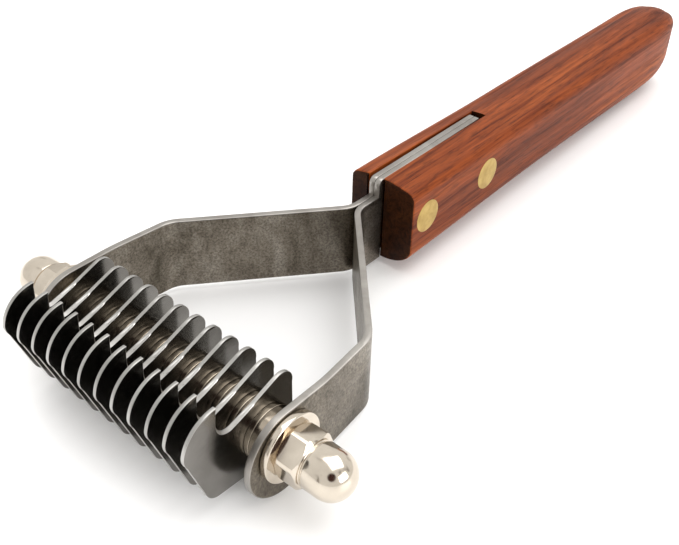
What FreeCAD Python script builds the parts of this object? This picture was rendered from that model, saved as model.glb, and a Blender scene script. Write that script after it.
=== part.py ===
import FreeCAD, Part
import math
import os

# Multi-blade dematting rake: a hardwood handle carries a two-strip steel fork, and a clamped
# row of hooked blades turns between the two ears of the fork.
#
# Everything is modelled about the blade axis (X, through the two ears; +Y towards the handle;
# +Z up) and moved by placed() to the part's own frame, whose origin is the bottom centre of the
# bounding box of the tool as it lies on a table. All sizes are in millimetres.

V = FreeCAD.Vector
X_AXIS = V(1, 0, 0)

# Rod and blade row
ROD_R = 2.5                  # M5 rod
RUNNING = 0.05               # radial clearance round the rod and the rivet shanks
BLADE_COUNT = 12
BLADE_T = 0.6
RING_T = 0.95                # narrow ring, on the -X side of each gap
TUBE_T = 2.00                # wide spacer tube, on the +X side of each gap
SPACER_R = 4.5
SPACER_BEVEL = 0.2
GAP = RING_T + TUBE_T
PITCH = BLADE_T + GAP
FACE_PLAY = 0.05             # axial play at each side of an ear

# Steel strips: ear, arm, shoulder and tang of one fork half
STRIP_T = 1.15
ROW_HALF = (BLADE_COUNT * BLADE_T + (BLADE_COUNT + 1) * GAP) / 2
EAR_X = ROW_HALF + FACE_PLAY + STRIP_T / 2      # centre plane of an ear
EAR_R = 7.5                                     # rounded front end, half the strip's width
EAR_DROP = 1.5                                  # the rod hole sits this far above mid-strip
EAR_BEND_Y = 8.5
LEG_LOW = -8.0                                  # lower edge of the strip behind the ear
KNEE = V(22.3, 19.8, 0)                         # where the ear leg turns into the diagonal leg
CROTCH_Y = 44.5                                 # where the diagonal turns into the tang
EAR_BEND_R = 30.0
KNEE_R = 5.5
CROTCH_R = 5.0
TANG_X = -1.1                                   # the two tangs meet here, left of the middle
SHOULDER_Y = 49.9                               # the tang steps up and in from here on
TANG_END_Y = 81.4
TANG_TOP = 9.4
TANG_LOW = -6.0
TANG_LOW_Y = 51.3                               # the lower step is just inside the handle
SHOULDER_R = 1.2

# Handle: sizes at its front, at its waist and where the rounded end begins
HANDLE_FRONT = 50.9
WAIST_Y = 95.0
NOSE_Y = 147.0
HANDLE_END = 163.5
HALF_WIDTH = (7.3, 7.1, 6.8) # before the cheeks are planed flat
CHEEK_X = 7.15               # the planed cheeks run from the front almost to the waist
TOP = (9.6, 9.2, 9.7)      # along the middle of the slightly crowned top
BELLY = (-7.6, -6.9, -8.7)   # lowest line of the rounded underside
CROWN = 0.6                  # drop from the middle of the top to its rounded edges
TOP_EDGE_R = (2.2, 2.4, 3.4)
CHEEK_LOW = -2.6             # the straight cheeks end here and the belly begins
HAUNCH = (0.78, 0.66)        # the belly passes here, as shares of half width and of depth
NOSE_MID_Z = 5.2             # height of the tip: the underside sweeps up to it
NOSE_STEPS = 10
NOSE_POWER = 3.0             # the nose is a superellipse in plan and in side view
NOSE_SWEEP = math.radians(86)   # and is cut off flat just short of its tip
GRIP_STATIONS = 7
SLOT_GAP = 0.8               # empty width of the saw slot, left of the two tangs
SLOT_FIT = 0.05
SLOT_END_Y = 83.6

# Brass rivets
RIVET_Y = {"rivet_front": 55.5, "rivet_rear": 75.1}
RIVET_Z = 2.5
RIVET_HEAD_R = 3.25
RIVET_HEAD_T = 1.8
RIVET_SHANK_R = 2.0

# Washers and cap nuts
WASHER_R = 5.6
WASHER_T = 1.2
WASHER_BEVEL = 0.2
NUT_FLATS = 8.0
NUT_HEX_T = 3.9
NUT_CORNER_R = 4.42          # the hexagon's corners are turned down to this radius
NUT_DOME_R = 3.75
NUT_DOME_CENTRE = 6.9        # distance of the dome's centre from the seat
NUT_NECK_R = 3.5
NUT_NECK_T = 0.45
NUT_BORE_DEPTH = 7.7
NUT_TURN = {"left": 14.0, "right": 41.0}        # where the hexagons happened to stop
ROD_IN_NUT = 7.2             # length of rod inside each nut

# Blade outline about the rod axis, as (y, z)
HORN_TIP = V(0, -8.7, 10.9)
HORN_CROWN = V(0, -12.5, 9.7)
HORN_FRONT = V(0, -14.8, 6.0)
CHIN_TOP = V(0, -14.3, 4.1)
CHIN_LOW = V(0, -11.5, -4.0)
CHIN_CORNER = V(0, -10.9, -4.9)
SOLE_FRONT = V(0, -9.6, -5.6)
SOLE_REAR = V(0, 4.2, -6.9)
HEEL_LOW = V(0, 5.6, -5.5)
HEEL_TOP = V(0, 5.6, 5.4)
HEEL_CROWN = V(0, 5.1, 7.6)
BACK_TOP = V(0, 3.0, 8.4)
BACK_DIP = V(0, -2.3, 6.5)
THROAT_REAR = V(0, -6.3, 5.4)
THROAT_LOW = V(0, -7.9, 5.8)
THROAT_FRONT = V(0, -8.7, 7.4)
BLADE_REACH = -HORN_FRONT.y

# The part's own frame
TO_FRAME = V(0, (BLADE_REACH - HANDLE_END) / 2, EAR_DROP + EAR_R)


def placed(shape):
    """A copy of a shape, moved from the blade axis to the part's own frame."""
    copy = shape.copy()
    copy.translate(TO_FRAME)
    return copy


def x_cylinder(radius, x_low, x_high, y=0.0, z=0.0):
    return Part.makeCylinder(radius, x_high - x_low, V(x_low, y, z), X_AXIS)


def x_prism(edges, x_low, x_high):
    """Extrude a closed outline in the YZ plane along X."""
    face = Part.Face(Part.Wire(edges))
    face.translate(V(x_low, 0, 0))
    return face.extrude(V(x_high - x_low, 0, 0))


def line(a, b):
    return Part.LineSegment(a, b).toShape()


def arc(a, through, b):
    return Part.Arc(a, through, b).toShape()


# ---------------------------------------------------------------- blades and what holds them

def blade_outline():
    """Hooked tooth with a rounded heel; the hook's inner edge is the cutting edge."""
    return [
        arc(HORN_TIP, HORN_CROWN, HORN_FRONT),
        arc(HORN_FRONT, V(0, -14.7, 5.0), CHIN_TOP),
        line(CHIN_TOP, CHIN_LOW),
        arc(CHIN_LOW, CHIN_CORNER, SOLE_FRONT),
        line(SOLE_FRONT, SOLE_REAR),
        arc(SOLE_REAR, V(0, 5.25, -6.5), HEEL_LOW),
        line(HEEL_LOW, HEEL_TOP),
        arc(HEEL_TOP, HEEL_CROWN, BACK_TOP),
        line(BACK_TOP, BACK_DIP),
        line(BACK_DIP, THROAT_REAR),
        arc(THROAT_REAR, THROAT_LOW, THROAT_FRONT),
        line(THROAT_FRONT, HORN_TIP),
    ]


def blade(x_middle):
    plate = x_prism(blade_outline(), x_middle - BLADE_T / 2, x_middle + BLADE_T / 2)
    hole = x_cylinder(ROD_R + RUNNING, x_middle - BLADE_T, x_middle + BLADE_T)
    return plate.cut(hole)


def collar(radius, bevel, x_low, x_high):
    """A turned ring or tube round the rod, with both outer rims bevelled."""
    body = x_cylinder(radius, x_low, x_high)
    rims = [e for e in body.Edges if abs(e.Length - 2 * math.pi * radius) < 1e-3]
    body = body.makeChamfer(bevel, rims)
    return body.cut(x_cylinder(ROD_R + RUNNING, x_low - 1, x_high + 1))


def blade_row():
    """Twelve blades and, in each of the thirteen gaps, a narrow ring and a wide spacer."""
    shapes = {}
    x = -ROW_HALF
    for gap in range(1, BLADE_COUNT + 2):
        shapes["ring_%02d" % gap] = collar(SPACER_R, SPACER_BEVEL, x, x + RING_T)
        shapes["spacer_%02d" % gap] = collar(SPACER_R, SPACER_BEVEL, x + RING_T, x + GAP)
        x += GAP
        if gap <= BLADE_COUNT:
            shapes["blade_%02d" % gap] = blade(x + BLADE_T / 2)
            x += BLADE_T
    return shapes


def seat_x():
    """Distance from the middle of the tool to the seat of a cap nut."""
    return EAR_X + STRIP_T / 2 + FACE_PLAY + WASHER_T


def rod():
    half = seat_x() + ROD_IN_NUT
    body = x_cylinder(ROD_R, -half, half)
    rims = [e for e in body.Edges if abs(e.Length - 2 * math.pi * ROD_R) < 1e-3]
    return body.makeChamfer(0.4, rims)


def washer(side):
    inner = EAR_X + STRIP_T / 2 + FACE_PLAY
    low, high = sorted((side * inner, side * (inner + WASHER_T)))
    return collar(WASHER_R, WASHER_BEVEL, low, high)


def cap_nut(side, turn):
    """Acorn nut: bevelled hexagon, short neck, and a dome over a blind bore."""
    corner = NUT_FLATS / math.sqrt(3)
    angles = [math.radians(turn + 60 * i) for i in range(6)]
    corners = [V(0, corner * math.cos(a), corner * math.sin(a)) for a in angles]
    edges = [line(corners[i], corners[(i + 1) % 6]) for i in range(6)]
    hexagon = x_prism(edges, 0, NUT_HEX_T)
    turned = x_cylinder(NUT_CORNER_R, 0, NUT_HEX_T)
    rims = [e for e in turned.Edges if abs(e.Length - 2 * math.pi * NUT_CORNER_R) < 1e-3]
    hexagon = hexagon.common(turned.makeChamfer(0.5, rims))
    neck = x_cylinder(NUT_NECK_R, NUT_HEX_T - 0.5, NUT_HEX_T + NUT_NECK_T)
    dome = x_cylinder(NUT_DOME_R, NUT_HEX_T + NUT_NECK_T, NUT_DOME_CENTRE)
    ball = Part.makeSphere(NUT_DOME_R, V(NUT_DOME_CENTRE, 0, 0))
    nut = hexagon.fuse([neck, dome, ball]).removeSplitter()
    nut = nut.cut(x_cylinder(ROD_R + RUNNING, -1, NUT_BORE_DEPTH))
    nut.translate(V(seat_x(), 0, 0))
    if side < 0:
        nut.rotate(V(0, 0, 0), V(0, 0, 1), 180)
    return nut


# ------------------------------------------------------------------------------- steel strips

def rounded_path(points, radii):
    """Split a polyline in the XY plane into straight runs and tangent corner arcs."""
    runs = []
    start = points[0]
    for before, corner, after, radius in zip(points, points[1:], points[2:], radii):
        into = (corner - before).normalize()
        out = (after - corner).normalize()
        turn = math.atan2(into.x * out.y - into.y * out.x, into.dot(out))
        setback = radius * math.tan(abs(turn) / 2)
        side = math.copysign(1, turn)
        tangent_in = corner - into * setback
        centre = tangent_in + V(-into.y, into.x, 0) * radius * side
        runs.append(("line", start, tangent_in))
        runs.append(("arc", centre, radius, side, into, out))
        start = corner + out * setback
    runs.append(("line", start, points[-1]))
    return runs


def offset_edges(runs, distance):
    """The same path moved sideways, to the left of its direction of travel."""
    edges = []
    for run in runs:
        if run[0] == "line":
            along = (run[2] - run[1]).normalize()
            left = V(-along.y, along.x, 0) * distance
            edges.append(line(run[1] + left, run[2] + left))
        else:
            centre, radius, side, into, out = run[1:]
            reach = -side * (radius - side * distance)
            middle = (into + out).normalize()
            a, b, c = [centre + V(-d.y, d.x, 0) * reach for d in (into, middle, out)]
            edges.append(arc(a, b, c))
    return edges


def bent_strip(side):
    """Plan of one bent strip, as a tall prism: ear, slight bend, knee, diagonal, crotch, tang."""
    tang_x = TANG_X + side * STRIP_T / 2
    points = [
        V(side * EAR_X, -EAR_R - 2, 0),
        V(side * EAR_X, EAR_BEND_Y, 0),
        V(side * KNEE.x, KNEE.y, 0),
        V(tang_x, CROTCH_Y, 0),
        V(tang_x, TANG_END_Y, 0),
    ]
    runs = rounded_path(points, (EAR_BEND_R, KNEE_R, CROTCH_R))
    left = offset_edges(runs, STRIP_T / 2)
    right = offset_edges(runs, -STRIP_T / 2)
    start = line(right[0].valueAt(right[0].FirstParameter), left[0].valueAt(left[0].FirstParameter))
    end = line(left[-1].valueAt(left[-1].LastParameter), right[-1].valueAt(right[-1].LastParameter))
    plan = Part.Face(Part.Wire(Part.__sortEdges__([start, end] + left + right)))
    plan.translate(V(0, 0, -30))
    return plan.extrude(V(0, 0, 60))


def strip_side_profile():
    """Side view of a strip: rounded ear, straight leg, and a tang that steps up and in."""
    low = -EAR_DROP - EAR_R
    high = -EAR_DROP + EAR_R
    r = SHOULDER_R
    bend = r * (1 - math.sqrt(0.5))
    edges = [
        arc(V(0, 0, high), V(0, -EAR_R, -EAR_DROP), V(0, 0, low)),
        line(V(0, 0, low), V(0, EAR_BEND_Y, LEG_LOW)),
        line(V(0, EAR_BEND_Y, LEG_LOW), V(0, TANG_LOW_Y, LEG_LOW)),
        line(V(0, TANG_LOW_Y, LEG_LOW), V(0, TANG_LOW_Y, TANG_LOW)),
        line(V(0, TANG_LOW_Y, TANG_LOW), V(0, TANG_END_Y, TANG_LOW)),
        line(V(0, TANG_END_Y, TANG_LOW), V(0, TANG_END_Y, TANG_TOP)),
        line(V(0, TANG_END_Y, TANG_TOP), V(0, SHOULDER_Y + r, TANG_TOP)),
        arc(V(0, SHOULDER_Y + r, TANG_TOP), V(0, SHOULDER_Y + bend, TANG_TOP - bend),
            V(0, SHOULDER_Y, TANG_TOP - r)),
        line(V(0, SHOULDER_Y, TANG_TOP - r), V(0, SHOULDER_Y, high)),
        line(V(0, SHOULDER_Y, high), V(0, 0, high)),
    ]
    return x_prism(edges, -EAR_X - STRIP_T, EAR_X + STRIP_T)


def arm(side):
    strip = bent_strip(side).common(strip_side_profile())
    ear = side * EAR_X
    strip = strip.cut(x_cylinder(ROD_R + RUNNING, ear - STRIP_T, ear + STRIP_T))
    for y in RIVET_Y.values():
        low, high = TANG_X - 2 * STRIP_T, TANG_X + 2 * STRIP_T
        strip = strip.cut(x_cylinder(RIVET_SHANK_R + RUNNING, low, high, y, RIVET_Z))
    return strip


# --------------------------------------------------------------------------------------- handle

def along_handle(sizes, y):
    """A size that eases from its front value to its waist value, and on to its value at the nose."""
    front, waist, rear = sizes
    if y < WAIST_Y:
        share = (y - HANDLE_FRONT) / (WAIST_Y - HANDLE_FRONT)
        return front + (waist - front) * (1 - math.cos(math.pi * share)) / 2
    share = min(1, (y - WAIST_Y) / (NOSE_Y - WAIST_Y))
    return waist + (rear - waist) * (1 - math.cos(math.pi * share)) / 2


def handle_section(y, scale):
    """Cross-section before planing: crowned top, rounded edges, straight cheeks, round belly."""
    w = along_handle(HALF_WIDTH, y)
    top = along_handle(TOP, y)
    edge = top - CROWN
    belly = along_handle(BELLY, y)
    r = along_handle(TOP_EDGE_R, y)
    bend = r * (1 - math.sqrt(0.5))
    haunch_x = w * HAUNCH[0]
    haunch_z = CHEEK_LOW + (belly - CHEEK_LOW) * HAUNCH[1]

    def at(x, z):
        return V(x * scale, y, NOSE_MID_Z + (z - NOSE_MID_Z) * scale)

    right_top = arc(at(w - r, edge), at(w - bend, edge - bend), at(w, edge - r))
    right_side = line(at(w, edge - r), at(w, CHEEK_LOW))
    curve = Part.BSplineCurve()
    curve.interpolate(
        [at(w, CHEEK_LOW), at(haunch_x, haunch_z), at(0, belly), at(-haunch_x, haunch_z),
         at(-w, CHEEK_LOW)],
        InitialTangent=V(0, 0, -1), FinalTangent=V(0, 0, 1))
    left_side = line(at(-w, CHEEK_LOW), at(-w, edge - r))
    left_top = arc(at(-w, edge - r), at(-w + bend, edge - bend), at(-w + r, edge))
    crown = arc(at(-w + r, edge), at(0, top), at(w - r, edge))
    return Part.Wire([right_top, right_side, curve.toShape(), left_side, left_top, crown])


def handle():
    grip_step = (NOSE_Y - HANDLE_FRONT) / (GRIP_STATIONS - 1)
    grip = Part.makeLoft(
        [handle_section(HANDLE_FRONT + grip_step * i, 1.0) for i in range(GRIP_STATIONS)],
        True, False)
    root = 2 / NOSE_POWER
    reach = (HANDLE_END - NOSE_Y) / math.sin(NOSE_SWEEP) ** root
    angles = [NOSE_SWEEP * step / NOSE_STEPS for step in range(NOSE_STEPS + 1)]
    nose = Part.makeLoft(
        [handle_section(NOSE_Y + reach * math.sin(a) ** root, math.cos(a) ** root) for a in angles],
        True, False)
    body = grip.fuse(nose)
    for low in (-CHEEK_X - 5, CHEEK_X):
        shaving = Part.makeBox(5, WAIST_Y - HANDLE_FRONT + 1, 40, V(low, HANDLE_FRONT - 1, -20))
        body = body.cut(shaving)
    slot_left = TANG_X - STRIP_T - SLOT_GAP
    slot_right = TANG_X + STRIP_T + SLOT_FIT
    slot = Part.makeBox(slot_right - slot_left, SLOT_END_Y - HANDLE_FRONT + 5, 40,
                        V(slot_left, HANDLE_FRONT - 5, -20))
    body = body.cut(slot)
    for y in RIVET_Y.values():
        body = body.cut(rivet(y))
    return body


def rivet(y):
    """Brass cutler's rivet, filed flush with both cheeks."""
    shank = x_cylinder(RIVET_SHANK_R, -CHEEK_X, CHEEK_X, y, RIVET_Z)
    heads = [
        x_cylinder(RIVET_HEAD_R, -CHEEK_X, -CHEEK_X + RIVET_HEAD_T, y, RIVET_Z),
        x_cylinder(RIVET_HEAD_R, CHEEK_X - RIVET_HEAD_T, CHEEK_X, y, RIVET_Z),
    ]
    return shank.fuse(heads).removeSplitter()


def main():
    shapes = {"handle": handle(), "rod": rod()}
    for name, y in RIVET_Y.items():
        shapes[name] = rivet(y)
    for side_name, side in (("left", -1), ("right", 1)):
        shapes["arm_" + side_name] = arm(side)
        shapes["washer_" + side_name] = washer(side)
        shapes["cap_nut_" + side_name] = cap_nut(side, NUT_TURN[side_name])
    shapes.update(blade_row())

    os.makedirs("parts", exist_ok=True)
    box = FreeCAD.BoundBox()
    for name, shape in shapes.items():
        part = placed(shape)
        if not part.isValid() or len(part.Solids) != 1:
            raise RuntimeError(name + " is not one valid solid")
        part.exportStep("parts/%s.step" % name)
        box.add(part.BoundBox)
    print("%d sub-parts, %.1f x %.1f x %.1f mm, lowest point at %.2f" %
          (len(shapes), box.XLength, box.YLength, box.ZLength, box.ZMin))


main()
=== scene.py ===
import math

import bmesh
import bpy
from mathutils import Matrix, Vector
from mathutils.geometry import tessellate_polygon


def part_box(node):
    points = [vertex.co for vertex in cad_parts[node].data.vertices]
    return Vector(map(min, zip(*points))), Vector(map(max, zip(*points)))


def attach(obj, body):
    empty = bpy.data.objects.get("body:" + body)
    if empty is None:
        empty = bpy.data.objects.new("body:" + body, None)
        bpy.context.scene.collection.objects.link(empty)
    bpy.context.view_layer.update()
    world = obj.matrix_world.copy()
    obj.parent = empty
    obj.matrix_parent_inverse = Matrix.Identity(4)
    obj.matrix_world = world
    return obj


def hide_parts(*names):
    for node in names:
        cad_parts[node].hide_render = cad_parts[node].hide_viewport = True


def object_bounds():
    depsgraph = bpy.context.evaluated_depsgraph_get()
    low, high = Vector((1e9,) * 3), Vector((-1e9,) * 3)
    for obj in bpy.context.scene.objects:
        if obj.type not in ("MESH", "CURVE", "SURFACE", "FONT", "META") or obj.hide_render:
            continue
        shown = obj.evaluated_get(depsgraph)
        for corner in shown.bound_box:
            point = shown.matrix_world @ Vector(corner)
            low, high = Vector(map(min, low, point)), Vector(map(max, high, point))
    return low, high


# A multi-blade dematting rake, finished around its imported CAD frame. Shapes are worked out in
# millimetres about the blade axis, as in the CAD, and place() moves them to the frame, in metres.

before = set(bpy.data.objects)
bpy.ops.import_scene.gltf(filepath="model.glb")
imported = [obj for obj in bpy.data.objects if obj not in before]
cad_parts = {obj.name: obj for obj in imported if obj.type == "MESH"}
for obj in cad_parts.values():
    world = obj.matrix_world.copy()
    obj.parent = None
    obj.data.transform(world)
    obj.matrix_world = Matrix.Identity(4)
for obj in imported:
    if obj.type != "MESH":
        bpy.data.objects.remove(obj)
cad_low, cad_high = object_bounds()

MM = 0.001
rod_low, rod_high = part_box("rod")
AXIS = (rod_low + rod_high) / 2


def place(p):
    """A point in millimetres about the blade axis, as a point of the frame in metres."""
    return AXIS + Vector(p) * MM


def span(node):
    """Lowest and highest corner of a CAD node, in millimetres about the blade axis."""
    low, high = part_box(node)
    return (low - AXIS) / MM, (high - AXIS) / MM


# ------------------------------------------------------------------------------ dimensions, mm

BORE_R = 2.55                       # bore of everything that goes over the 5 mm rod
RUNNING = 0.05                      # clearance round the rivet shanks
EASE = 0.29                         # middle of a quarter-round rim, as a share of its radius

# Blade: corners and mid-arc points of the outline as (y, z)
HORN_TIP = (-8.7, 10.9)
HORN_CROWN = (-12.5, 9.7)
HORN_FRONT = (-14.8, 6.0)
CHIN_BEND = (-14.7, 5.0)
CHIN_TOP = (-14.3, 4.1)
CHIN_LOW = (-11.5, -4.0)
CHIN_CORNER = (-10.9, -4.9)
SOLE_FRONT = (-9.6, -5.6)
SOLE_REAR = (4.2, -6.9)
HEEL_CORNER = (5.25, -6.5)
HEEL_LOW = (5.6, -5.5)
HEEL_TOP = (5.6, 5.4)
HEEL_CROWN = (5.1, 7.6)
BACK_TOP = (3.0, 8.4)
BACK_DIP = (-2.3, 6.5)
THROAT_REAR = (-6.3, 5.4)
THROAT_LOW = (-7.9, 5.8)
THROAT_FRONT = (-8.7, 7.4)
BLADE_RIM = 0.03
GRIND_WIDTH = 0.35                  # the cutting edge inside the hook is ground from one face
GRIND_LAND = 0.16                   # thickness left at the cutting edge

# Fork strips
STRIP_T = 1.15
EAR_R = 7.5
EAR_DROP = 1.5
LEG_LOW = -8.0                      # the strip is a little narrower behind the ear
EAR_X = span("arm_right")[1].x - STRIP_T / 2
EAR_BEND_Y = 8.5
KNEE = (22.3, 19.8)
CROTCH_Y = 44.5
BEND_R = (30.0, 5.5, 5.0)
TANG_X = -1.1                       # the two tangs meet here, left of the middle
TANG_END_Y = 81.4
SHOULDER_Y = 49.9
SHOULDER_R = 1.2
TANG_TOP = 9.4
TANG_LOW = -6.0
TANG_LOW_Y = 51.3
STRIP_RIM = 0.17

# Handle: sizes at its front, at its waist and where the rounded end begins
HANDLE_FRONT = 50.9
WAIST_Y = 95.0
NOSE_Y = 147.0
HANDLE_END = 163.5
HALF_WIDTH = (7.3, 7.1, 6.8)
CHEEK_X = 7.15                      # the planed cheeks, ahead of the waist
TOP = (9.6, 9.2, 9.7)
BELLY = (-7.6, -6.9, -8.7)
CROWN = 0.6
TOP_EDGE_R = (2.2, 2.4, 3.4)
CHEEK_LOW = -2.6
BELLY_POWER = 2.14                  # superellipse of the round belly
NOSE_MID_Z = 5.2                    # height of the tip: the underside sweeps up to it
NOSE_POWER = 3.0                    # the nose is a superellipse
NOSE_SWEEP = math.radians(89)
SLOT_GAP = 0.8                      # empty width of the saw slot, left of the two tangs
SLOT_FIT = 0.05
SLOT_X = (TANG_X - STRIP_T - SLOT_GAP, TANG_X + STRIP_T + SLOT_FIT)
SLOT_END_Y = 83.6
SLOT_RIM = 0.18
FRONT_RIM = 0.45
STATION = 1.5                       # spacing of the cross-sections along the slot

# Rivets
RIVET_Y = {"rivet_front": 55.5, "rivet_rear": 75.1}
RIVET_Z = 2.5
RIVET_R = 3.25
SHANK_R = 2.0
HEAD_T = 1.8

# Cap nuts
NUT_FLATS = 8.0
NUT_CORNER_R = 4.42
NUT_BEVEL = 0.5
NUT_HEX_T = 3.9
NUT_NECK_R = 3.5
NUT_NECK_T = 0.45
NUT_DOME_R = 3.75
NUT_DOME_X = 6.9
NUT_BORE_DEPTH = 7.7
NUT_MOUTH = 0.35                    # chamfer at the mouth of the bore
NUT_FILLET_IN = ((0.02, 0.12), (0.12, 0.0))     # (x, r) from the hexagon's end and the neck
NUT_FILLET_OUT = ((-0.08, 0.0), (0.0, 0.10))    # (x, r) from the neck's end and radius
NUT_DOME_LIP = ((0.06, -0.05), (0.20, 0.0))     # (x, r) from the neck's end and the dome's radius
NUT_TURN = {"left": 14.0, "right": 41.0}


# ------------------------------------------------------------------------------ outline helpers

def arc(a, through, b, steps):
    """Points of the circle through three points, from a up to but without b."""
    (ax, ay), (bx, by), (cx, cy) = a, through, b
    d = 2 * (ax * (by - cy) + bx * (cy - ay) + cx * (ay - by))
    aa, bb, cc = ax**2 + ay**2, bx**2 + by**2, cx**2 + cy**2
    ux = (aa * (by - cy) + bb * (cy - ay) + cc * (ay - by)) / d
    uy = (aa * (cx - bx) + bb * (ax - cx) + cc * (bx - ax)) / d
    radius = math.hypot(ax - ux, ay - uy)
    start, middle, end = [math.atan2(y - uy, x - ux) for x, y in (a, through, b)]
    turn = (end - start) % math.tau
    if (middle - start) % math.tau > turn:
        turn -= math.tau
    angles = [start + turn * i / steps for i in range(steps)]
    return [(ux + radius * math.cos(t), uy + radius * math.sin(t)) for t in angles]


def run(a, b, steps):
    """Points of a straight line, from a up to but without b."""
    return [(a[0] + (b[0] - a[0]) * i / steps, a[1] + (b[1] - a[1]) * i / steps)
            for i in range(steps)]


def circle(centre, radius, steps):
    angles = [math.tau * i / steps for i in range(steps)]
    return [(centre[0] + radius * math.cos(t), centre[1] + radius * math.sin(t)) for t in angles]


def inward(loop):
    """Unit inward direction, mitred, at each point of an anticlockwise loop."""
    result = []
    for i, (x, y) in enumerate(loop):
        (px, py), (nx, ny) = loop[i - 1], loop[(i + 1) % len(loop)]
        into = Vector((x - px, y - py)).normalized()
        out = Vector((nx - x, ny - y)).normalized()
        left = Vector((-into.y - out.y, into.x + out.x))
        if left.length < 1e-6:
            left = Vector((-into.y, into.x))
        left.normalize()
        result.append(left / max(0.5, left.dot(Vector((-into.y, into.x)))))
    return result


def anticlockwise(loop):
    area = sum(a[0] * b[1] - b[0] * a[1] for a, b in zip(loop, loop[1:] + loop[:1]))
    return loop if area > 0 else loop[::-1]


# ------------------------------------------------------------------------------ piece helpers

def piece(name, verts, faces, materials, body, node, sharp=35.0, tags=None):
    """A finished mesh that rides on a body and stands for one CAD node."""
    mesh = bpy.data.meshes.new(name)
    mesh.from_pydata([place(v) for v in verts], [], faces)
    for material in materials:
        mesh.materials.append(material)
    if tags:
        mesh.polygons.foreach_set("material_index", tags)
    tidy = bmesh.new()
    tidy.from_mesh(mesh)
    bmesh.ops.recalc_face_normals(tidy, faces=tidy.faces)
    tidy.to_mesh(mesh)
    tidy.free()
    mesh.shade_smooth()
    mesh.set_sharp_from_angle(angle=math.radians(sharp))
    obj = bpy.data.objects.new(name, mesh)
    bpy.context.scene.collection.objects.link(obj)
    weighted = obj.modifiers.new("face_weights", "WEIGHTED_NORMAL")
    weighted.keep_sharp = True
    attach(obj, body)
    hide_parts(node)


def stitch(rows, closed_rows=False):
    """Vertices and quads between loops of equal length. A row of one point is a pole."""
    verts = [p for row in rows for p in row]
    starts = [sum(len(row) for row in rows[:k]) for k in range(len(rows))]
    faces = []
    pairs = list(zip(range(len(rows)), range(1, len(rows))))
    if closed_rows:
        pairs.append((len(rows) - 1, 0))
    for a, b in pairs:
        count = max(len(rows[a]), len(rows[b]))
        for j in range(count):
            k = (j + 1) % count
            corner = []
            for row, index in ((a, j), (a, k), (b, k), (b, j)):
                vertex = starts[row] + (index if len(rows[row]) > 1 else 0)
                if vertex not in corner:
                    corner.append(vertex)
            faces.append(corner)
    return verts, faces


def lathe(profile, segments, closed):
    """Turn a profile of (x, radius) points about the blade axis."""
    rows = []
    for x, r in profile:
        if r < 1e-6:
            rows.append([(x, 0, 0)])
        else:
            rows.append([(x, r * math.cos(t), r * math.sin(t))
                         for t in (math.tau * j / segments for j in range(segments))])
    return stitch(rows, closed)


def rounded_collar(low, high, inner, outer, rim):
    """Profile of a turned ring with rounded rims, as a closed loop.

    Also returns the stretches of the profile that get no painted shade: the outer face and most of
    its rims.
    """
    steps = 4
    corners = []
    for cx, sx in ((low + rim, -1), (high - rim, 1)):
        angles = [math.pi / 2 * i / steps for i in range(steps + 1)]
        if sx > 0:
            angles.reverse()
        corners += [(cx + sx * rim * math.cos(t), outer - rim + rim * math.sin(t)) for t in angles]
    profile = [(low, inner + rim / 2), *corners, (high, inner + rim / 2), (high - rim / 2, inner),
               (low + rim / 2, inner)]
    return profile, range(steps - 1, steps + 4)


def plate(outline, holes, thickness, rim, grind=None):
    """Flat plate in the (u, v) plane, as rows through its thickness, with softened rims.

    grind maps the index of an outline point to how far its upper rim is ground in, from 0 to 1.
    Returns vertices (w, u, v), faces, and for each face whether it belongs to a rim.
    """
    verts, faces, is_rim = [], [], []
    loops = [outline] + [hole[::-1] for hole in holes]
    upper, lower = [], []
    for number, loop in enumerate(loops):
        directions = inward(loop)
        rows = []
        for share, drop, top in ((1, 0, 1), (EASE, EASE, 1), (0, 1, 1),
                                 (0, 1, -1), (EASE, EASE, -1), (1, 0, -1)):
            row = []
            for i, ((u, v), d) in enumerate(zip(loop, directions)):
                ground = grind[i] if grind and number == 0 and top > 0 else 0
                width = rim + (GRIND_WIDTH - rim) * ground
                depth = rim + (thickness - GRIND_LAND - rim) * ground
                flat = 0.5 - EASE if share == EASE else 0      # a ground rim is straight, not round
                s = (share + flat * ground) * width
                f = (drop + flat * ground) * depth
                row.append((top * (thickness / 2 - f), u + d.x * s, v + d.y * s))
            rows.append(row)
        base = len(verts)
        new_verts, new_faces = stitch(rows)
        verts += new_verts
        faces += [[base + i for i in face] for face in new_faces]
        is_rim += [1] * len(new_faces)
        upper.append((base, rows[0]))
        lower.append((base + (len(rows) - 1) * len(loop), rows[-1]))
    for side in (upper, lower):
        index = [base + i for base, row in side for i in range(len(row))]
        flat = [[Vector((u, v, 0)) for _, u, v in row] for _, row in side]
        triangles = tessellate_polygon(flat)
        faces += [[index[i] for i in triangle] for triangle in triangles]
        is_rim += [0] * len(triangles)
    return verts, faces, is_rim


# ------------------------------------------------------------------------------ materials

def colour_ramp(tree, value, stops):
    node = tree.nodes.new("ShaderNodeValToRGB")
    ramp = node.color_ramp
    while len(ramp.elements) < len(stops):
        ramp.elements.new(0.5)
    for element, (position, colour) in zip(ramp.elements, stops):
        element.position = position
        rgb = (colour,) * 3 if isinstance(colour, (int, float)) else colour
        element.color = (*rgb, 1)
    tree.links.new(value, node.inputs["Fac"])
    return node.outputs["Color"]


def product(tree, a, b, factor):
    """Colour a, multiplied by a share of b. Each is a socket or (r, g, b)."""
    node = tree.nodes.new("ShaderNodeMix")
    node.data_type = "RGBA"
    node.blend_type = "MULTIPLY"
    sockets = {socket.name: socket for socket in node.inputs if socket.enabled}
    sockets["Factor"].default_value = factor
    for name, value in (("A", a), ("B", b)):
        if isinstance(value, bpy.types.NodeSocket):
            tree.links.new(value, sockets[name])
        else:
            sockets[name].default_value = (*value, 1)
    return [socket for socket in node.outputs if socket.enabled][0]


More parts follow.
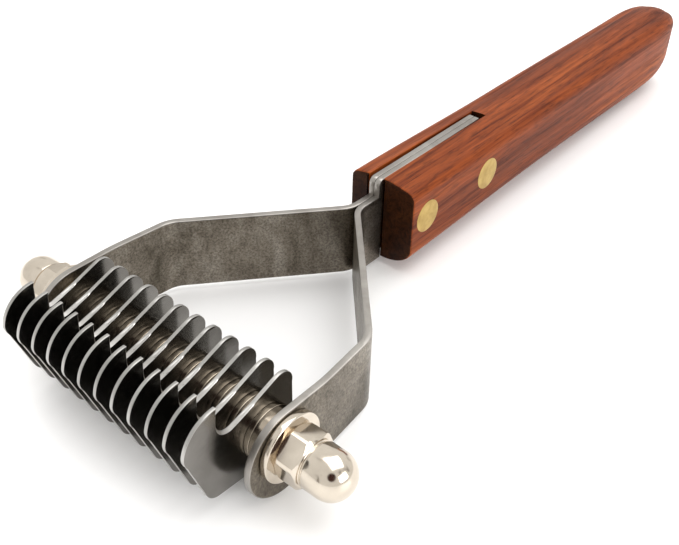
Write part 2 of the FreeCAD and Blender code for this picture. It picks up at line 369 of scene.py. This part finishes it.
class Nodes:
    """Small helper to write a material's nodes."""

    def __init__(self, name, metallic=0.0):
        self.material = bpy.data.materials.new(name)
        self.material.use_nodes = True
        self.tree = self.material.node_tree
        self.shader = self.tree.nodes["Principled BSDF"]
        self.shader.inputs["Metallic"].default_value = metallic
        self.where = self.tree.nodes.new("ShaderNodeTexCoord").outputs["Object"]

    def add(self, kind):
        return self.tree.nodes.new(kind)

    def link(self, a, b):
        self.tree.links.new(a, b)

    def noise(self, scale, detail, rough=0.5, distortion=0.0):
        """Noise on coordinates in metres: a scale of 1000 gives one unit per millimetre."""
        mapping = self.add("ShaderNodeMapping")
        mapping.inputs["Scale"].default_value = scale
        self.link(self.where, mapping.inputs["Vector"])
        node = self.add("ShaderNodeTexNoise")
        node.inputs["Scale"].default_value = 1.0
        node.inputs["Detail"].default_value = detail
        node.inputs["Roughness"].default_value = rough
        node.inputs["Distortion"].default_value = distortion
        self.link(mapping.outputs["Vector"], node.inputs["Vector"])
        return node.outputs["Fac"]

    def ramp(self, value, *stops):
        """Colour ramp with stops (position, grey or (r, g, b))."""
        return colour_ramp(self.tree, value, stops)

    def multiply(self, a, b, factor=1.0):
        return product(self.tree, a, b, factor)

    def colour(self, socket):
        self.link(socket, self.shader.inputs["Base Color"])

    def roughness(self, socket):
        self.link(socket, self.shader.inputs["Roughness"])

    def bump(self, *layers):
        """Stack of bumps, each (height, strength, distance in millimetres)."""
        normal = None
        for height, strength, distance in layers:
            node = self.add("ShaderNodeBump")
            node.inputs["Strength"].default_value = strength
            node.inputs["Distance"].default_value = distance * MM
            self.link(height, node.inputs["Height"])
            if normal:
                self.link(normal, node.inputs["Normal"])
            normal = node.outputs["Normal"]
        self.link(normal, self.shader.inputs["Normal"])


def wood(name, end_grain=False):
    """Reddish-brown hardwood with its grain along Y and a thin satin oil finish."""
    n = Nodes(name)
    broad = n.noise((140, 10, 120), detail=3, distortion=1.2)
    streak = n.noise((900, 22, 800), detail=6, rough=0.62, distortion=0.8)
    fleck = n.noise((3600, 240, 3400), detail=3, rough=0.6)
    base = n.ramp(broad, (0.32, (0.118, 0.023, 0.004)), (0.50, (0.200, 0.041, 0.007)),
                  (0.68, (0.295, 0.071, 0.014)))
    bands = n.ramp(streak, (0.36, (0.44, 0.32, 0.24)), (0.48, (0.88, 0.80, 0.66)),
                   (0.66, (1.28, 1.24, 1.04)))
    dark = n.ramp(fleck, (0.36, 0.38), (0.50, 1.0))
    colour = n.multiply(n.multiply(base, bands, 0.9), dark, 0.7)
    if end_grain:
        colour = n.multiply(colour, (0.16, 0.22, 0.30))
    n.colour(colour)
    n.roughness(n.ramp(streak, (0.3, 0.58), (0.7, 0.42)))
    n.shader.inputs["Specular IOR Level"].default_value = 0.10 if end_grain else 0.16
    n.bump((fleck, 0.4, 0.06), (streak, 0.3, 0.10))
    return n.material


def brass():
    """Filed brass: fine scratches one way, a few tarnished patches."""
    n = Nodes("filed_brass", metallic=1.0)
    patches = n.noise((500, 500, 500), detail=3)
    scratches = n.noise((900, 700, 9000), detail=3, rough=0.6)
    n.colour(n.ramp(patches, (0.3, (0.38, 0.255, 0.070)), (0.6, (0.52, 0.370, 0.120))))
    n.roughness(n.ramp(scratches, (0.3, 0.42), (0.7, 0.26)))
    n.bump((scratches, 0.25, 0.02))
    return n.material


def steel_strip(name, bright=False):
    """Tumbled steel with mottled stains and fine speckle. The bright one is for worn edges."""
    n = Nodes(name, metallic=1.0)
    mottle = n.noise((110, 130, 90), detail=5, rough=0.6, distortion=0.5)
    speckle = n.noise((2600, 2600, 2600), detail=3, rough=0.7)
    streak = n.noise((700, 60, 900), detail=3, rough=0.6)
    if bright:
        n.colour(n.ramp(mottle, (0.3, (0.27, 0.25, 0.23)), (0.7, (0.44, 0.42, 0.39))))
        n.roughness(n.ramp(speckle, (0.3, 0.38), (0.7, 0.28)))
    else:
        base = n.ramp(mottle, (0.30, (0.082, 0.070, 0.052)), (0.50, (0.190, 0.165, 0.133)),
                      (0.70, (0.300, 0.272, 0.230)))
        fine = n.ramp(speckle, (0.34, 0.50), (0.64, 1.30))
        n.colour(n.multiply(base, fine, 0.9))
        n.roughness(n.ramp(streak, (0.25, 0.46), (0.75, 0.30)))
    n.bump((speckle, 0.25, 0.03), (mottle, 0.05, 0.1))
    return n.material


def steel_blade(name, ground=False):
    """Polished blade stock, or the brighter ground metal of its edges."""
    n = Nodes(name, metallic=1.0)
    cloud = n.noise((160, 160, 160), detail=4)
    lines = n.noise((4200, 800, 4200), detail=3, rough=0.6)
    if ground:
        n.colour(n.ramp(cloud, (0.3, (0.34, 0.33, 0.315)), (0.7, (0.50, 0.49, 0.47))))
        n.roughness(n.ramp(lines, (0.3, 0.40), (0.7, 0.26)))
    else:
        n.colour(n.ramp(cloud, (0.3, (0.165, 0.156, 0.143)), (0.7, (0.245, 0.235, 0.220))))
        n.roughness(n.ramp(lines, (0.3, 0.25), (0.7, 0.16)))
    n.bump((lines, 0.12, 0.02))
    return n.material


def nickel(name, dull=False):
    """Bright nickel plate with a warm tint and faint orange peel. The dull one is smoky."""
    n = Nodes(name, metallic=1.0)
    cloud = n.noise((260, 260, 260), detail=4)
    peel = n.noise((900, 900, 900), detail=2)
    if dull:
        n.colour(n.ramp(cloud, (0.3, (0.40, 0.345, 0.275)), (0.7, (0.58, 0.505, 0.41))))
    else:
        n.colour(n.ramp(cloud, (0.3, (0.60, 0.535, 0.45)), (0.7, (0.74, 0.665, 0.565))))
    n.roughness(n.ramp(cloud, (0.3, 0.17), (0.7, 0.09)))
    n.bump((peel, 0.06, 0.05))
    return n.material


def painted_joint_shade():
    """Painted shade: near-black colour in the joints between the collars, where they meet each other
    and the blades.
    """
    n = Nodes("joint_painted_shade", metallic=0.6)
    cloud = n.noise((900, 900, 900), detail=3)
    n.colour(n.ramp(cloud, (0.3, (0.020, 0.016, 0.012)), (0.7, (0.060, 0.050, 0.040))))
    n.roughness(n.ramp(cloud, (0.3, 0.60), (0.7, 0.45)))
    return n.material


def floor_paint():
    """Smooth white table top with a soft shine."""
    n = Nodes("white_table")
    grain = n.noise((30, 30, 30), detail=3)
    n.colour(n.ramp(grain, (0.2, 0.93), (0.8, 0.95)))
    n.roughness(n.ramp(grain, (0.2, 0.36), (0.8, 0.30)))
    n.shader.inputs["Specular IOR Level"].default_value = 0.3
    return n.material


WOOD = wood("oiled_hardwood")
END_GRAIN = wood("end_grain", end_grain=True)
BRASS = brass()
STRIP = steel_strip("tumbled_strip")
STRIP_EDGE = steel_strip("strip_edge", bright=True)
BLADE = steel_blade("polished_blade")
GROUND = steel_blade("ground_edge", ground=True)
NICKEL = nickel("nickel_plate")
SMOKY = nickel("smoky_plate", dull=True)
JOINT_SHADE = painted_joint_shade()


# ------------------------------------------------------------------------------ blade row

def blade_outline():
    """Hooked tooth with a rounded heel, anticlockwise from the horn's tip, and its grinding.

    The grinding is 1 inside the hook and 0 elsewhere, and fades in and out over a few points.
    """
    stretches = [
        (arc(HORN_TIP, HORN_CROWN, HORN_FRONT, 16), 0),
        (arc(HORN_FRONT, CHIN_BEND, CHIN_TOP, 5), 0),
        (run(CHIN_TOP, CHIN_LOW, 8), 0),
        (arc(CHIN_LOW, CHIN_CORNER, SOLE_FRONT, 5), 0),
        (run(SOLE_FRONT, SOLE_REAR, 10), 0),
        (arc(SOLE_REAR, HEEL_CORNER, HEEL_LOW, 5), 0),
        (run(HEEL_LOW, HEEL_TOP, 8), 0),
        (arc(HEEL_TOP, HEEL_CROWN, BACK_TOP, 10), 0),
        (run(BACK_TOP, BACK_DIP, 5), 0),
        (run(BACK_DIP, THROAT_REAR, 5), 1),
        (arc(THROAT_REAR, THROAT_LOW, THROAT_FRONT, 10), 1),
        (run(THROAT_FRONT, HORN_TIP, 5), 1),
    ]
    outline = [p for points, _ in stretches for p in points]
    ground = [flag for points, flag in stretches for _ in points]
    fade = 3
    count = len(ground)
    eased = [sum(ground[(i + k) % count] for k in range(-fade, fade + 1)) / (2 * fade + 1)
             for i in range(count)]
    grind = [e * flag for e, flag in zip(eased, ground)]
    return outline, grind


def build_blades():
    """Flat hooked teeth with faintly rounded rims and a ground edge inside the hook."""
    outline, grind = blade_outline()
    hole = circle((0, 0), BORE_R, 48)
    for name in sorted(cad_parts):
        if not name.startswith("blade_"):
            continue
        low, high = span(name)
        verts, faces, is_rim = plate(outline, [hole], high.x - low.x, BLADE_RIM, grind)
        middle = (low.x + high.x) / 2
        verts = [(middle + w, u, v) for w, u, v in verts]
        piece(name + "_look", verts, faces, [BLADE, GROUND], "rotor", name,
              tags=is_rim)


def build_collars():
    """Rings and spacers on the rod, and the two washers."""
    segments = 96
    rims = {"ring_": 0.09, "spacer_": 0.10, "washer_": 0.24}
    for name in sorted(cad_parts):
        kind = [k for k in rims if name.startswith(k)]
        if not kind:
            continue
        low, high = span(name)
        profile, unshaded = rounded_collar(low.x, high.x, BORE_R, high.z, rims[kind[0]])
        verts, faces = lathe(profile, segments, True)
        if kind[0] == "washer_":
            piece(name + "_look", verts, faces, [NICKEL], name + "_body", name)
            continue
        # Sides, bore and the half of each rim next to a side take the dark joint material: painted
        # shade in the creases between collars and blades.
        painted_shade = [int(i // segments not in unshaded) for i in range(len(faces))]
        piece(name + "_look", verts, faces, [SMOKY, JOINT_SHADE], "rotor", name, tags=painted_shade)


def build_rod():
    """Plain rod with bevelled ends, which stay hidden in the nuts."""
    low, high = span("rod")
    bevel = 0.4
    profile = [(low.x, 0), (low.x, high.z - bevel), (low.x + bevel, high.z),
               (high.x - bevel, high.z), (high.x, high.z - bevel), (high.x, 0)]
    verts, faces = lathe(profile, 64, False)
    piece("rod_look", verts, faces, [NICKEL], "rotor", "rod")


def soft_min(a, b, softness=0.02):
    """The lesser of two lengths, with a rounded change from one to the other."""
    return -softness * math.log(math.exp(-a / softness) + math.exp(-b / softness))


def build_nut(side_name, side):
    """Acorn nut: hexagon with turned corners and bevelled ends, neck, dome and blind bore."""
    segments = 240
    seat = side * span("washer_" + side_name)[1 if side > 0 else 0].x
    seat_r = NUT_CORNER_R - NUT_BEVEL
    turn = math.radians(NUT_TURN[side_name])

    def hexagon(angle):
        nearest = (angle - turn) % (math.pi / 3) - math.pi / 6
        return soft_min(NUT_FLATS / 2 / math.cos(nearest), NUT_CORNER_R)

    def ring(x_of, r_of):
        angles = [math.tau * j / segments for j in range(segments)]
        return [(side * (seat + x_of(t)), r_of(t) * math.cos(t) * side, r_of(t) * math.sin(t))
                for t in angles]

    def turned(x, r):
        return ring(lambda t: x, lambda t: r)

    neck_end = NUT_HEX_T + NUT_NECK_T
    rows = [[(side * (seat + NUT_BORE_DEPTH), 0, 0)],
            turned(NUT_BORE_DEPTH, BORE_R),
            turned(NUT_MOUTH, BORE_R),
            turned(0, BORE_R + NUT_MOUTH),
            turned(0, seat_r),
            ring(lambda t: hexagon(t) - seat_r, hexagon),
            ring(lambda t: NUT_HEX_T - (hexagon(t) - seat_r), hexagon),
            turned(NUT_HEX_T, seat_r)]
    rows += [turned(NUT_HEX_T + x, NUT_NECK_R + r) for x, r in NUT_FILLET_IN]
    rows += [turned(neck_end + x, NUT_NECK_R + r) for x, r in NUT_FILLET_OUT]
    rows += [turned(neck_end + x, NUT_DOME_R + r) for x, r in NUT_DOME_LIP]
    dome_steps = 36
    for i in range(dome_steps):
        a = math.pi / 2 * i / dome_steps
        rows.append(turned(NUT_DOME_X + NUT_DOME_R * math.sin(a), NUT_DOME_R * math.cos(a)))
    rows.append([(side * (seat + NUT_DOME_X + NUT_DOME_R), 0, 0)])
    verts, faces = stitch(rows)
    node = "cap_nut_" + side_name
    piece(node + "_look", verts, faces, [NICKEL], "nut_%s_body" % side_name, node,
          sharp=28.0)


# ------------------------------------------------------------------------------ fork

class Path:
    """Plan of a strip: straight runs joined by tangent arcs, by length from the ear's centre."""

    def __init__(self, points, radii):
        self.parts = []
        self.length = 0.0
        corners = [Vector(p) for p in points]
        start = corners[0]
        for before, corner, after, radius in zip(corners, corners[1:], corners[2:], radii):
            into = (corner - before).normalized()
            out = (after - corner).normalized()
            turn = math.atan2(into.x * out.y - into.y * out.x, into.dot(out))
            setback = radius * math.tan(abs(turn) / 2)
            self.add(start, into, (corner - start).length - setback, 0.0)
            self.add(corner - into * setback, into, radius * abs(turn), turn)
            start = corner + out * setback
        self.add(start, out, (corners[-1] - start).length, 0.0)

    def add(self, start, along, length, turn):
        self.parts.append((self.length, length, start, along, turn))
        self.length += length

    def at(self, s, sideways):
        """Point of the plan at length s, moved to the left of the direction of travel."""
        for begin, length, start, along, turn in self.parts:
            if s <= begin + length + 1e-9:
                break
        t = s - begin
        left = Vector((-along.y, along.x))
        if turn == 0.0:
            return start + along * t + left * sideways
        angle = turn * t / length
        radius = length / turn
        centre = start + left * radius
        out = -left * math.cos(angle) + along * math.sin(angle)
        return centre + out * (radius - sideways)

    def cuts(self, step_degrees):
        """Lengths at which the strip needs an edge across it, so that its bends are round."""
        result = []
        for begin, length, _, _, turn in self.parts:
            if turn:
                count = math.ceil(abs(math.degrees(turn)) / step_degrees)
                result += [begin + length * i / count for i in range(count + 1)]
        return result


def build_arm(side_name, side):
    """Half of the fork: cut flat in the (length, height) plane, then bent along its plan."""
    tang_x = TANG_X * side + STRIP_T / 2
    path = Path([(EAR_X, 0.0), (EAR_X, EAR_BEND_Y), KNEE, (tang_x, CROTCH_Y), (tang_x, TANG_END_Y)],
                BEND_R)
    ahead = path.length - TANG_END_Y            # length along the strip less Y, on the tang
    low, high = -EAR_DROP - EAR_R, -EAR_DROP + EAR_R
    shoulder = SHOULDER_Y + ahead
    low_step = TANG_LOW_Y + ahead
    bend = SHOULDER_R * (1 - math.sqrt(0.5))
    outline = arc((0, high), (-EAR_R, -EAR_DROP), (0, low), 40)
    outline += run((0, low), (EAR_BEND_Y, LEG_LOW), 8)
    outline += run((EAR_BEND_Y, LEG_LOW), (low_step, LEG_LOW), 24)
    outline += run((low_step, LEG_LOW), (low_step, TANG_LOW), 3)
    outline += run((low_step, TANG_LOW), (path.length, TANG_LOW), 14)
    outline += run((path.length, TANG_LOW), (path.length, TANG_TOP), 6)
    outline += run((path.length, TANG_TOP), (shoulder + SHOULDER_R, TANG_TOP), 14)
    outline += arc((shoulder + SHOULDER_R, TANG_TOP), (shoulder + bend, TANG_TOP - bend),
                   (shoulder, TANG_TOP - SHOULDER_R), 8)
    outline += run((shoulder, TANG_TOP - SHOULDER_R), (shoulder, high), 3)
    outline += run((shoulder, high), (0, high), 30)
    holes = [circle((0, 0), BORE_R, 48)]
    holes += [circle((y + ahead, RIVET_Z), SHANK_R + RUNNING, 32) for y in RIVET_Y.values()]
    verts, faces, is_rim = plate(outline, holes, STRIP_T, STRIP_RIM)

    flat = bmesh.new()
    corners = [flat.verts.new((u, v, w)) for w, u, v in verts]
    for face, rim in zip(faces, is_rim):
        made = flat.faces.new([corners[i] for i in face])
        made.material_index = rim
    for s in path.cuts(4.0):
        everything = flat.verts[:] + flat.edges[:] + flat.faces[:]
        bmesh.ops.bisect_plane(flat, geom=everything, plane_co=(s, 0, 0), plane_no=(1, 0, 0),
                               dist=1e-5)
    flat.verts.index_update()
    bent = []
    for vertex in flat.verts:
        s, z, sideways = vertex.co
        plan = path.at(max(s, 0.0), sideways)
        bent.append((side * plan.x, plan.y + min(s, 0.0), z))
    bent_faces = [[v.index for v in face.verts] for face in flat.faces]
    tags = [face.material_index for face in flat.faces]
    flat.free()
    node = "arm_" + side_name
    piece(node + "_look", bent, bent_faces, [STRIP, STRIP_EDGE], "frame", node,
          tags=tags)


# ------------------------------------------------------------------------------ handle

def along_handle(sizes, y):
    """A size that eases from its front value to its waist value, and on to its value at the nose."""
    front, waist, rear = sizes
    if y < WAIST_Y:
        a, b, share = front, waist, (y - HANDLE_FRONT) / (WAIST_Y - HANDLE_FRONT)
    else:
        a, b, share = waist, rear, min(1, (y - WAIST_Y) / (NOSE_Y - WAIST_Y))
    return a + (b - a) * (1 - math.cos(math.pi * share)) / 2


class Section:
    """Cross-section of the handle: crowned top, rounded edges, flat cheeks, round belly."""

    def __init__(self, y):
        self.w = along_handle(HALF_WIDTH, y)
        self.limit = CHEEK_X if y < WAIST_Y else self.w
        self.top = along_handle(TOP, y)
        self.r = along_handle(TOP_EDGE_R, y)
        self.depth = CHEEK_LOW - along_handle(BELLY, y)

    def crown(self, x):
        return self.top - CROWN * (x / (self.w - self.r)) ** 2

    def belly(self, x):
        a = math.acos((abs(x) / self.w) ** (BELLY_POWER / 2))
        return CHEEK_LOW - self.depth * math.sin(a) ** (2 / BELLY_POWER)

    def half(self, side, slot_x):
        """Half of the outline, from the slot's top edge round to its bottom edge."""
        w, r = self.w, self.r
        shoulder = self.top - CROWN - r             # height of the rounded edge's centre
        gap = side * slot_x + SLOT_RIM
        steps = 8
        points = []
        for i in range(steps):
            x = gap + (w - r - gap) * i / steps
            points.append((x, self.crown(x)))
        steps = 12
        for i in range(steps + 1):
            a = math.pi / 2 * (1 - i / steps)
            points.append((w - r + r * math.cos(a), shoulder + r * math.sin(a)))
        steps = 10
        points += [(w, shoulder + (CHEEK_LOW - shoulder) * i / steps) for i in range(1, steps)]
        last = math.acos((gap / w) ** (BELLY_POWER / 2))
        steps = 20
        for i in range(steps + 1):
            x = w * math.cos(last * i / steps) ** (2 / BELLY_POWER)
            points.append((x, self.belly(x)))
        return [(side * min(x, self.limit), z) for x, z in points]

    def halves(self):
        return [self.half(side, slot_x) for side, slot_x in zip((-1, 1), SLOT_X)]

    def full(self):
        """The whole outline, with its stretches above and below the slot."""
        first, second = self.halves()
        low = bridge(first[-1], second[-1], self.belly)
        top = bridge(second[0], first[0], self.crown)
        return first, low, second[::-1], top


def bridge(a, b, height):
    """Points strictly between two ends across the slot, at the height of the full section."""
    steps = 6
    xs = [a[0] + (b[0] - a[0]) * i / steps for i in range(1, steps)]
    return [(x, height(x)) for x in xs]


def wall(half, slot_x, side):
    """The slot's wall from the bottom edge up to the top edge, with softened corners."""
    top, bottom = half[0], half[-1]
    e = SLOT_RIM
    soft = e * EASE
    rise = [(slot_x + side * soft, bottom[1] + soft), (slot_x, bottom[1] + e)]
    rise += [(slot_x, bottom[1] + e + (top[1] - bottom[1] - 2 * e) * i / 4) for i in range(1, 4)]
    rise += [(slot_x, top[1] - e), (slot_x + side * soft, top[1] - soft)]
    return rise


def scaled(loop, scale):
    """A loop shrunk towards the middle of the nose."""
    return [(x * scale, NOSE_MID_Z + (z - NOSE_MID_Z) * scale) for x, z in loop]


def build_handle():
    """Two cheeks beside the saw slot, joined behind it and drawn out to the rounded nose."""
    verts, faces, tags = [], [], []

    def add_loop(loop, y):
        start = len(verts)
        verts.extend((x, y, z) for x, z in loop)
        return list(range(start, len(verts)))

    def skin(a, b, tag=0):
        for j in range(len(a)):
            k = (j + 1) % len(a)
            faces.append([a[j], a[k], b[k], b[j]])
            tags.append(tag)

    # Slotted front part: two closed loops, with a rounded front rim.
    slotted = [HANDLE_FRONT + FRONT_RIM]
    while slotted[-1] < SLOT_END_Y - STATION:
        slotted.append(slotted[-1] + STATION)
    slotted[-1] = SLOT_END_Y
    ends = []
    for side, slot_x, number in ((-1, SLOT_X[0], 0), (1, SLOT_X[1], 1)):
        first = Section(HANDLE_FRONT).halves()[number]
        closed = first + wall(first, slot_x, side)
        turned = anticlockwise(closed)
        towards = inward(turned)
        if turned is not closed:
            towards = towards[::-1]
        previous = None
        steps = 4                       # quarter-round rim, dark end grain on most of it
        for i in range(steps):
            a = math.pi / 2 * i / steps
            inset = FRONT_RIM * (1 - math.sin(a))
            y = HANDLE_FRONT + FRONT_RIM * (1 - math.cos(a))
            loop = [(x + d.x * inset, z + d.y * inset) for (x, z), d in zip(closed, towards)]
            ring = add_loop(loop, y)
            if previous:
                skin(previous, ring, 1 if i < steps - 1 else 0)
            else:
                faces.append(ring)
                tags.append(1)
            previous = ring
        for y in slotted:
            half = Section(y).halves()[number]
            ring = add_loop(half + wall(half, slot_x, side), y)
            skin(previous, ring)
            previous = ring
        ends.append((previous, len(half)))

    # End wall of the slot, and the full loop that carries on from it.
    (left, left_count), (right, right_count) = ends
    _, low, _, top = Section(SLOT_END_Y).full()
    top_ring = add_loop(top, SLOT_END_Y)
    low_ring = add_loop(low, SLOT_END_Y)
    full = left[:left_count] + low_ring + right[:right_count][::-1] + top_ring
    faces.append(left[left_count - 1:] + [left[0]] + top_ring[::-1] + [right[0]]
                 + right[right_count - 1:][::-1] + low_ring[::-1])
    tags.append(1)

    def full_loop(y):
        return [p for stretch in Section(y).full() for p in stretch]

    stations = 44
    for i in range(1, stations + 1):
        y = SLOT_END_Y + (NOSE_Y - SLOT_END_Y) * i / stations
        ring = add_loop(full_loop(y), y)
        skin(full, ring)
        full = ring
    nose_steps = 26
    root = 2 / NOSE_POWER
    reach = (HANDLE_END - NOSE_Y) / math.sin(NOSE_SWEEP) ** root
    for i in range(1, nose_steps + 1):
        a = NOSE_SWEEP * i / nose_steps
        ring = add_loop(scaled(full_loop(NOSE_Y), math.cos(a) ** root),
                        NOSE_Y + reach * math.sin(a) ** root)
        skin(full, ring)
        full = ring
    pole = len(verts)
    verts.append((0, HANDLE_END, NOSE_MID_Z))
    for j in range(len(full)):
        faces.append([full[j], full[(j + 1) % len(full)], pole])
        tags.append(0)
    piece("handle_look", verts, faces, [WOOD, END_GRAIN], "frame", "handle", tags=tags)


def build_rivet(name):
    """Brass rivet: shank and two heads, each filed to a faint dome."""
    proud = 0.07                    # height of the dome's middle over the cheek
    brim = 0.3 * proud              # and of its edge
    rim = 0.16
    sunk = 0.1                      # the rounding of the edge starts this far below the cheek
    half = [(0, SHANK_R), (CHEEK_X - HEAD_T, SHANK_R), (CHEEK_X - HEAD_T, RIVET_R),
            (CHEEK_X - sunk, RIVET_R)]
    steps = 4
    for i in range(1, steps + 1):
        a = math.pi / 2 * i / steps
        half.append((CHEEK_X - sunk + (sunk + brim) * math.sin(a),
                     RIVET_R - rim * (1 - math.cos(a))))
    steps = 8
    for i in range(1, steps + 1):
        share = 1 - i / steps
        half.append((CHEEK_X + proud - (proud - brim) * share**2, (RIVET_R - rim) * share))
    profile = [(-x, r) for x, r in half[:0:-1]] + half[1:]
    verts, faces = lathe(profile, 72, False)
    y = RIVET_Y[name]
    verts = [(vx, vy + y, vz + RIVET_Z) for vx, vy, vz in verts]
    piece(name + "_look", verts, faces, [BRASS], "frame", name)


build_blades()
build_collars()
build_rod()
for side_name, side in (("left", -1), ("right", 1)):
    build_nut(side_name, side)
    build_arm(side_name, side)
build_handle()
for name in RIVET_Y:
    build_rivet(name)


# ------------------------------------------------------------------------------ stage

def build_floor():
    """White table just under the tool."""
    half = 2.5
    gap = 0.00005
    mesh = bpy.data.meshes.new("table")
    z = cad_low.z - gap
    mesh.from_pydata([(-half, -half, z), (half, -half, z), (half, half, z), (-half, half, z)], [],
                     [(0, 1, 2, 3)])
    mesh.materials.append(floor_paint())
    obj = bpy.data.objects.new("table", mesh)
    bpy.context.scene.collection.objects.link(obj)


def soft_light(name, centre, width, height, power, mirrored):
    """Rectangular lamp that faces the tool. One that is not mirrored leaves no highlight."""
    light = bpy.data.lights.new(name, "AREA")
    light.shape = "RECTANGLE"
    light.size = width
    light.size_y = height
    light.energy = power
    obj = bpy.data.objects.new(name, light)
    bpy.context.scene.collection.objects.link(obj)
    obj.location = centre
    towards = Vector((0, 0, 0)) - Vector(centre)
    obj.rotation_euler = towards.to_track_quat("-Z", "Y").to_euler()
    obj.visible_glossy = mirrored


LIGHTS = (                          # name, centre in metres, width, height, watts, mirrored
    ("overhead", (0.05, 0.15, 0.75), 0.8, 0.8, 4.0, True),
    ("left_window", (-0.75, 0.10, 0.45), 0.6, 0.5, 2.0, False),
    ("front_fill", (0.35, -0.75, 0.55), 0.5, 0.35, 1.0, False),
    ("right_fill", (0.85, 0.0, 0.35), 0.6, 0.4, 4.0, True))
ROOM_STRENGTH = 0.95
PATCH_SCALE = 2.3
OPERATOR = (0.503, -0.610, 0.612)   # direction of a dark figure, mirrored small in the domes


def build_world():
    """Bright room with a few soft darker zones, which the plated parts mirror."""
    world = bpy.data.worlds.new("studio")
    bpy.context.scene.world = world
    world.use_nodes = True
    tree = world.node_tree
    where = tree.nodes.new("ShaderNodeTexCoord")
    patches = tree.nodes.new("ShaderNodeTexNoise")
    patches.inputs["Scale"].default_value = PATCH_SCALE
    patches.inputs["Detail"].default_value = 1.0
    tree.links.new(where.outputs["Generated"], patches.inputs["Vector"])
    room = colour_ramp(tree, patches.outputs["Fac"],
                       ((0.28, (0.26, 0.23, 0.195)), (0.42, (1.0, 0.985, 0.96))))
    nearness = tree.nodes.new("ShaderNodeVectorMath")
    nearness.operation = "DOT_PRODUCT"
    nearness.inputs[1].default_value = OPERATOR
    tree.links.new(where.outputs["Generated"], nearness.inputs[0])
    spot = colour_ramp(tree, nearness.outputs["Value"],
                       ((0.945, 1.0), (0.962, (0.06, 0.02, 0.015))))
    background = tree.nodes["Background"]
    tree.links.new(product(tree, room, spot, 1.0), background.inputs["Color"])
    background.inputs["Strength"].default_value = ROOM_STRENGTH


# Camera: in front of the tool's right side, looking down over the blade row. Target and distance
# are in millimetres, the target about the blade axis.
CAMERA_AZIMUTH = math.radians(39.54)
CAMERA_ELEVATION = math.radians(37.73)
CAMERA_ROLL = math.radians(1.48)
CAMERA_TARGET = (4.12, 34.47, 0.0)
CAMERA_DISTANCE = 162.9
CAMERA_LENS = 50.43


def build_camera():
    """Camera at its distance from the target, turned about its own line of sight by the roll."""
    camera = bpy.data.cameras.new("camera")
    camera.sensor_width = 36.0
    camera.lens = CAMERA_LENS
    camera.clip_start = 0.01
    obj = bpy.data.objects.new("camera", camera)
    bpy.context.scene.collection.objects.link(obj)
    flat = math.cos(CAMERA_ELEVATION)
    away = Vector((math.sin(CAMERA_AZIMUTH) * flat, -math.cos(CAMERA_AZIMUTH) * flat,
                   math.sin(CAMERA_ELEVATION)))
    target = place(CAMERA_TARGET)
    obj.location = target + away * CAMERA_DISTANCE * MM
    level = (-away).to_track_quat("-Z", "Y").to_matrix().to_4x4()
    roll = Matrix.Rotation(CAMERA_ROLL, 4, Vector((0, 0, 1)))
    obj.matrix_world = Matrix.Translation(obj.location) @ level @ roll
    bpy.context.scene.camera = obj


build_floor()
build_world()
build_camera()
for light in LIGHTS:
    soft_light(*light)
bpy.context.scene.view_settings.view_transform = "Standard"
